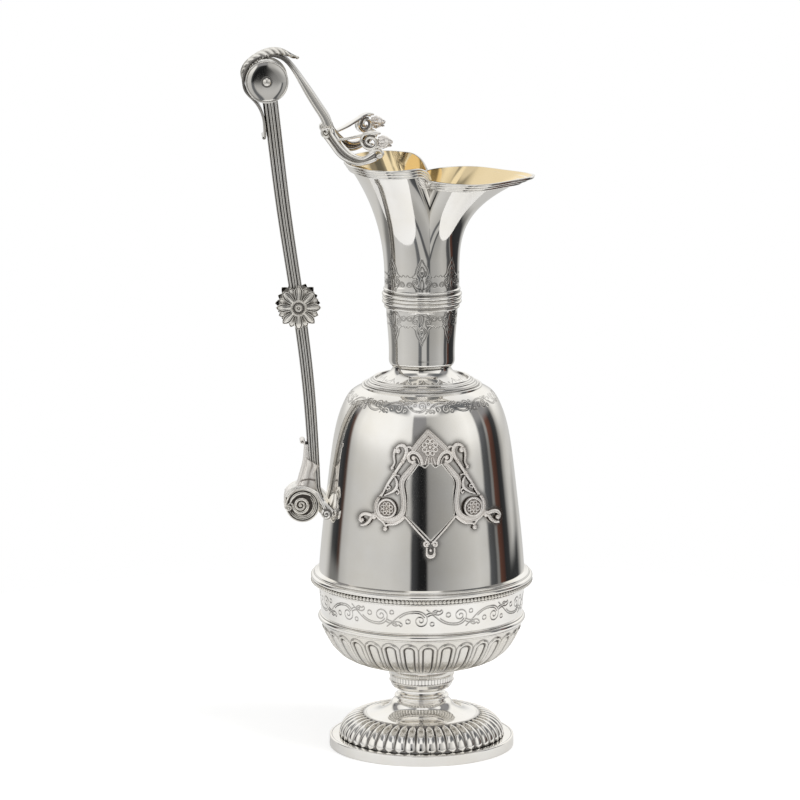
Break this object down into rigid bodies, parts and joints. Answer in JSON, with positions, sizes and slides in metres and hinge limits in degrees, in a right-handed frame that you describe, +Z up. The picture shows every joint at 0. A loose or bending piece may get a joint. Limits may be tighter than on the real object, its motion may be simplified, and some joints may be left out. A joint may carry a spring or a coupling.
{
  "type": "claret jug",
  "caption": "Tall silver wine jug on a spreading lobed foot, with an open pinched lip, a long reeded handle with forked lion-head mount, and an applied cartouche.",
  "frame": {"origin": "middle of the foot, at the level of the table that it stands on", "axes": "+Z up along the body's axis, +X towards the pouring spout, -X towards the handle, -Y towards the side with the cartouche"},
  "size_m": [0.1517, 0.1146, 0.3643],
  "materials": {
    "polished_silver": "polished silver with soft wear and grey tarnish in the recesses",
    "oxidised_silver": "cast and chased silver with dark recesses",
    "gilt_silver": "polished silver with a gilt inside"
  },
  "bodies": {
    "root": {"foot_band": "polished_silver", "foot_dome": "polished_silver", "stem_collar": "polished_silver", "stem_cup": "polished_silver", "bowl": "polished_silver", "lower_ring": "polished_silver", "body_band": "oxidised_silver", "girdle": "polished_silver", "girdle_beads": "oxidised_silver", "body": "polished_silver", "shoulder_moulding": "polished_silver", "shoulder_cone": "oxidised_silver", "neck": "oxidised_silver", "neck_ring": "polished_silver", "lip": "gilt_silver", "lobe_rim_wire": "polished_silver", "spout_rim_wire": "polished_silver", "cartouche_frame": "polished_silver", "cartouche_plate": "polished_silver", "cartouche_roundels": "oxidised_silver", "handle_shaft": "polished_silver", "handle_back_strip": "polished_silver", "rosette_near": "oxidised_silver", "rosette_far": "oxidised_silver", "drum": "polished_silver", "drum_disc_near": "polished_silver", "drum_disc_far": "polished_silver", "drum_pin": "polished_silver", "handle_strap": "polished_silver", "strap_leaf": "oxidised_silver", "fork_arm_near": "polished_silver", "fork_arm_far": "polished_silver", "lion_head_near": "oxidised_silver", "lion_head_far": "oxidised_silver", "acanthus_sleeve": "polished_silver", "volute_drum": "polished_silver", "foot_bracket": "polished_silver"}
  },
  "joints": []
}
